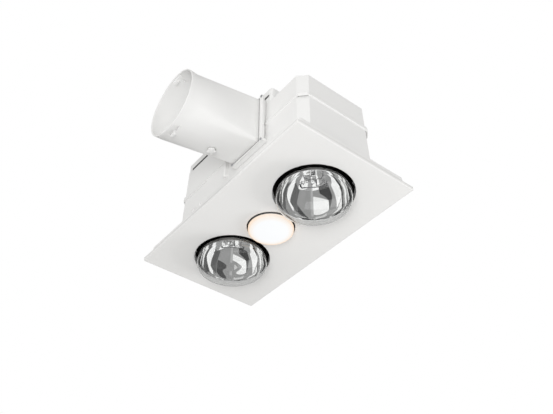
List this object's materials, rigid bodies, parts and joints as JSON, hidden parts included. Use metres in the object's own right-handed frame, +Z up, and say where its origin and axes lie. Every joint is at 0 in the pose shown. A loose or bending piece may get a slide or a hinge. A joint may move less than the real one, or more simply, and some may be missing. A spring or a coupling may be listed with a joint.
{
  "type": "bathroom ceiling heater with exhaust fan",
  "caption": "Recessed ceiling unit: rectangular fascia with silvered reflector heat lamps, a centre light, a stepped housing with a blower, and a round side duct outlet with a damper.",
  "frame": {"origin": "centre of the ceiling cut-out, level with the ceiling surface that the mounting frame seats against", "axes": "+Z up into the ceiling, X along the fascia's long side, -Y the way the duct leaves"},
  "size_m": [0.44, 0.3505, 0.254],
  "materials": {
    "panel_white": "smooth satin-gloss white moulding",
    "housing_white": "fine matt white moulding",
    "black_steel": "heat-resistant matt black paint",
    "zinc_steel": "bright zinc-plated sheet",
    "spring_steel": "polished spring strip and bar",
    "bulb_glass": "blown glass, clear in front and silvered inside the cone",
    "opal": "satin opal diffuser",
    "aluminium": "satin",
    "ceramic": "glazed off-white",
    "tungsten": "drawn wire",
    "black_plastic": "matt black moulding",
    "bronze": "sintered bronze",
    "board": "white solder-resist board",
    "rubber": "soft black rubber"
  },
  "bodies": {
    "housing": {"mounting_frame": "housing_white", "lower_housing": "housing_white", "upper_housing": "housing_white", "fan_cover_lid": "housing_white", "chassis_plate": "black_steel", "lamp_shroud_left": "black_steel", "lamp_shroud_right": "black_steel", "lampholder_left": "ceramic", "lampholder_right": "ceramic", "lampholder_light": "ceramic", "lampholder_bridge_left": "zinc_steel", "lampholder_bridge_right": "zinc_steel", "lampholder_bridge_light": "zinc_steel", "blower_casing": "zinc_steel", "blower_inlet_plate": "zinc_steel", "motor_front_shell": "zinc_steel", "motor_rear_shell": "zinc_steel", "motor_stator": "zinc_steel", "motor_front_bush": "bronze", "motor_rear_bush": "bronze", "motor_bracket": "zinc_steel", "motor_rubber_ring": "rubber", "outlet_neck": "housing_white", "duct_adaptor": "housing_white", "damper_lower_bush": "housing_white", "damper_upper_bush": "housing_white", "wiring_shelf": "zinc_steel", "terminal_block": "ceramic", "motor_capacitor": "black_plastic", "thermal_cutout": "black_plastic", "cable_gland": "black_plastic"},
    "fascia": {"fascia_panel": "panel_white", "fascia_spring_clip_left": "spring_steel", "fascia_spring_clip_right": "spring_steel", "bulb_spring_ring_left": "spring_steel", "bulb_spring_ring_right": "spring_steel"},
    "left_lamp": {"heat_lamp_left_envelope": "bulb_glass", "heat_lamp_left_cap": "aluminium", "heat_lamp_left_stem": "bulb_glass", "heat_lamp_left_filament": "tungsten"},
    "right_lamp": {"heat_lamp_right_envelope": "bulb_glass", "heat_lamp_right_cap": "aluminium", "heat_lamp_right_stem": "bulb_glass", "heat_lamp_right_filament": "tungsten"},
    "centre_light": {"light_diffuser": "opal", "light_body": "aluminium", "light_board": "board", "light_cap": "aluminium"},
    "fan_rotor": {"motor_rotor": "aluminium", "motor_shaft": "spring_steel", "impeller": "housing_white"},
    "damper": {"damper_flap": "housing_white", "damper_spindle": "spring_steel", "damper_spring": "spring_steel"}
  },
  "joints": [
    {"name": "fascia_pull_down", "type": "slide", "parent": "housing", "child": "fascia", "axis": [0, 0, -1], "range_m": [0, 0.03]},
    {"name": "left_lamp_out", "type": "slide", "parent": "housing", "child": "left_lamp", "axis": [0, 0, -1], "range_m": [0, 0.03]},
    {"name": "right_lamp_out", "type": "slide", "parent": "housing", "child": "right_lamp", "axis": [0, 0, -1], "range_m": [0, 0.03]},
    {"name": "centre_light_out", "type": "slide", "parent": "housing", "child": "centre_light", "axis": [0, 0, -1], "range_m": [0, 0.03]},
    {"name": "fan_spin", "type": "hinge", "parent": "housing", "child": "fan_rotor", "pos_m": [0.05, 0.006, 0.134], "axis": [1, 0, 0], "continuous": true},
    {"name": "damper_swing", "type": "hinge", "parent": "housing", "child": "damper", "pos_m": [0.016, -0.141, 0.118], "axis": [0, 0, -1], "range_deg": [0, 75], "stiffness_Nm_per_rad": 0.002, "springref_deg": -5.73}
  ]
}
